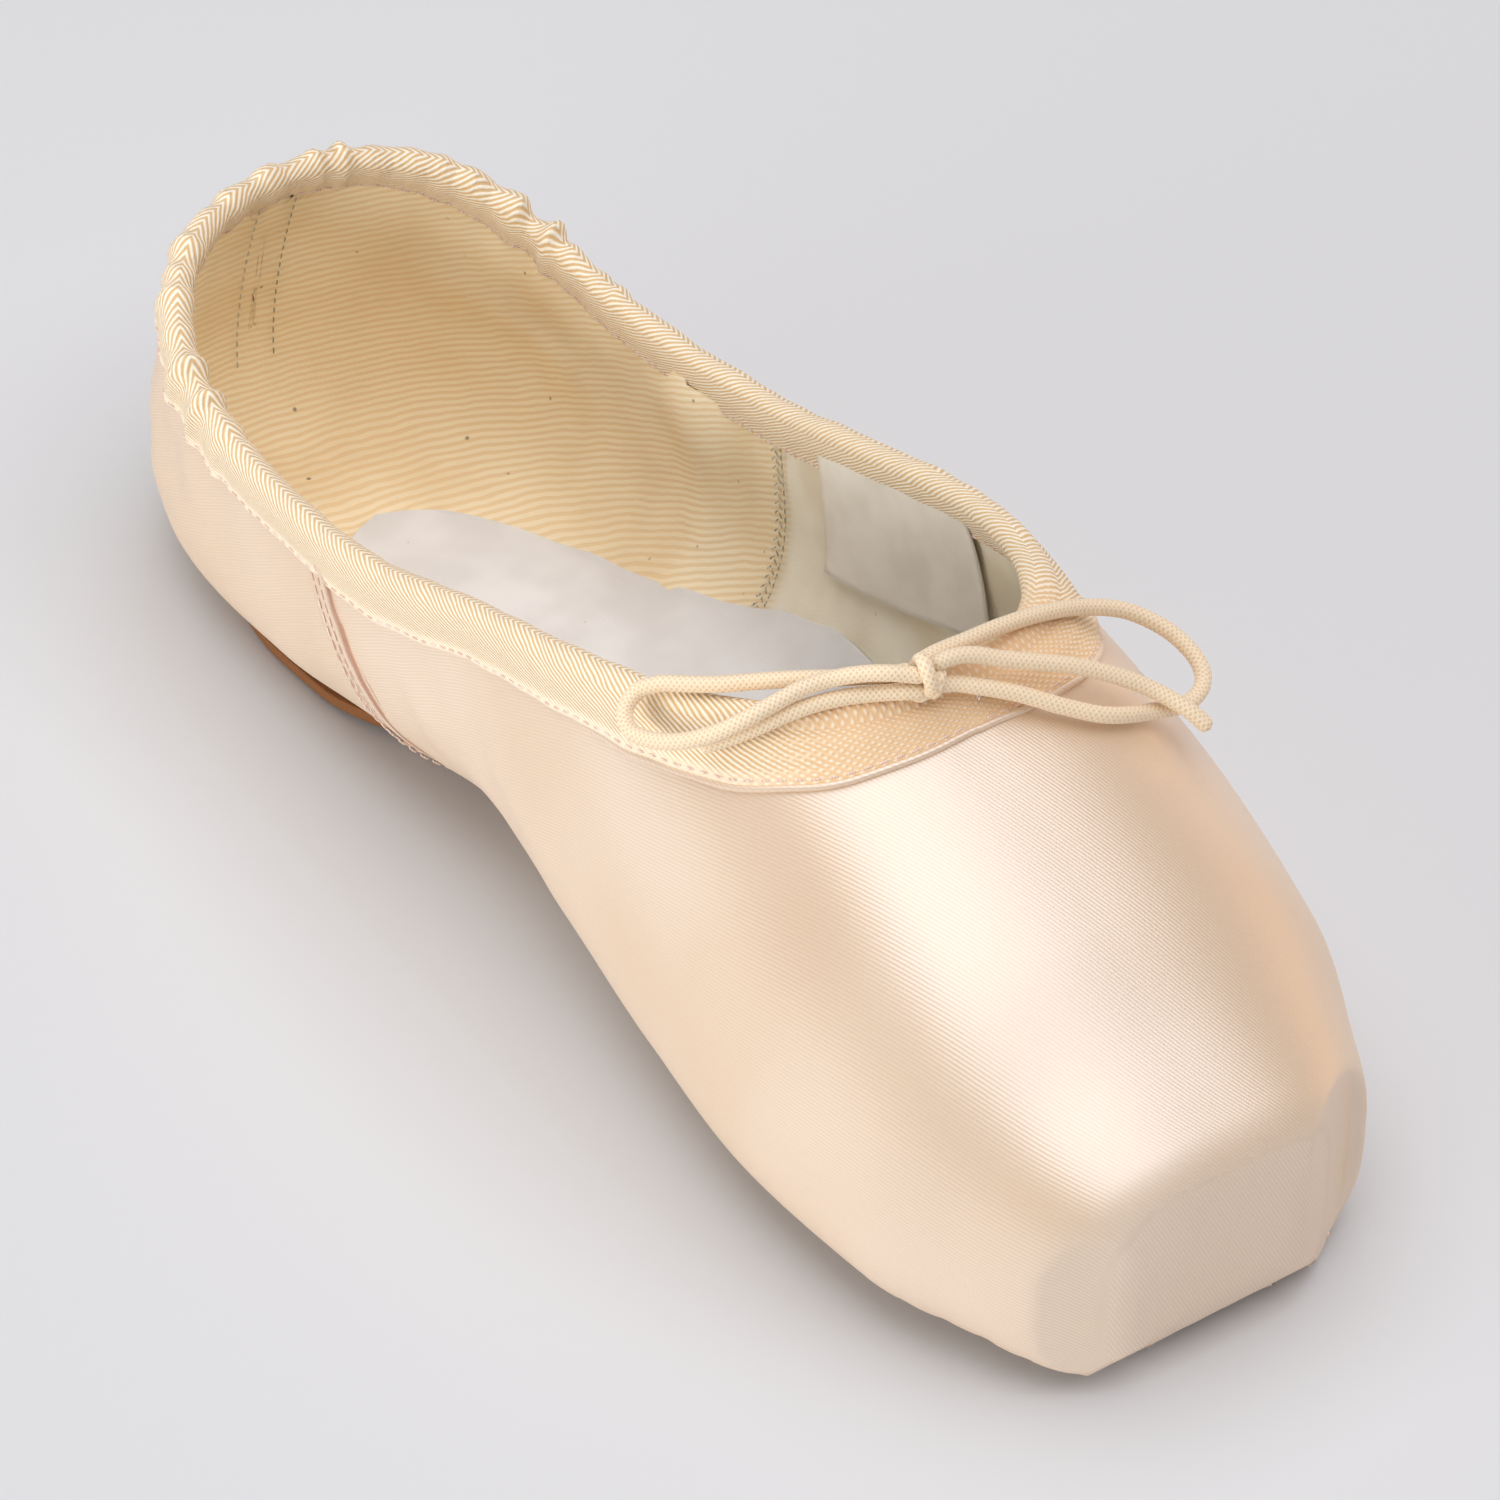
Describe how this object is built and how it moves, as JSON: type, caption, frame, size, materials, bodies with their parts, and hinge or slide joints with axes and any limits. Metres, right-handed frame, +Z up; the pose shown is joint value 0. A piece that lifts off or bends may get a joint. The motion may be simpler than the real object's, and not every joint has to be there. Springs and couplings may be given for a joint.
{
  "type": "pointe shoe",
  "caption": "Satin pointe shoe with a hardened toe box, flat platform, leather sole and a drawstring collar tied in a small bow at the throat.",
  "frame": {"origin": "on the floor under the middle of the shoe's length and width", "axes": "+Y from toe to heel along the shoe's middle line, +Z up from the sole, +X to the shoe's side"},
  "size_m": [0.0816, 0.2376, 0.0763],
  "materials": {
    "satin": "satin weave, soft sheen",
    "sole_leather": "buffed leather, matt",
    "sock_cotton": "plain cotton, matt",
    "twill_tape": "cotton twill tape, matt",
    "elastic": "woven elastic cord, matt"
  },
  "bodies": {
    "root": {"upper": "satin", "outsole": "sole_leather", "insole": "sock_cotton", "binding": "twill_tape", "bow_knot": "elastic", "bow_loop_left": "elastic", "bow_end_left": "elastic", "bow_loop_right": "elastic", "bow_end_right": "elastic"}
  },
  "joints": []
}
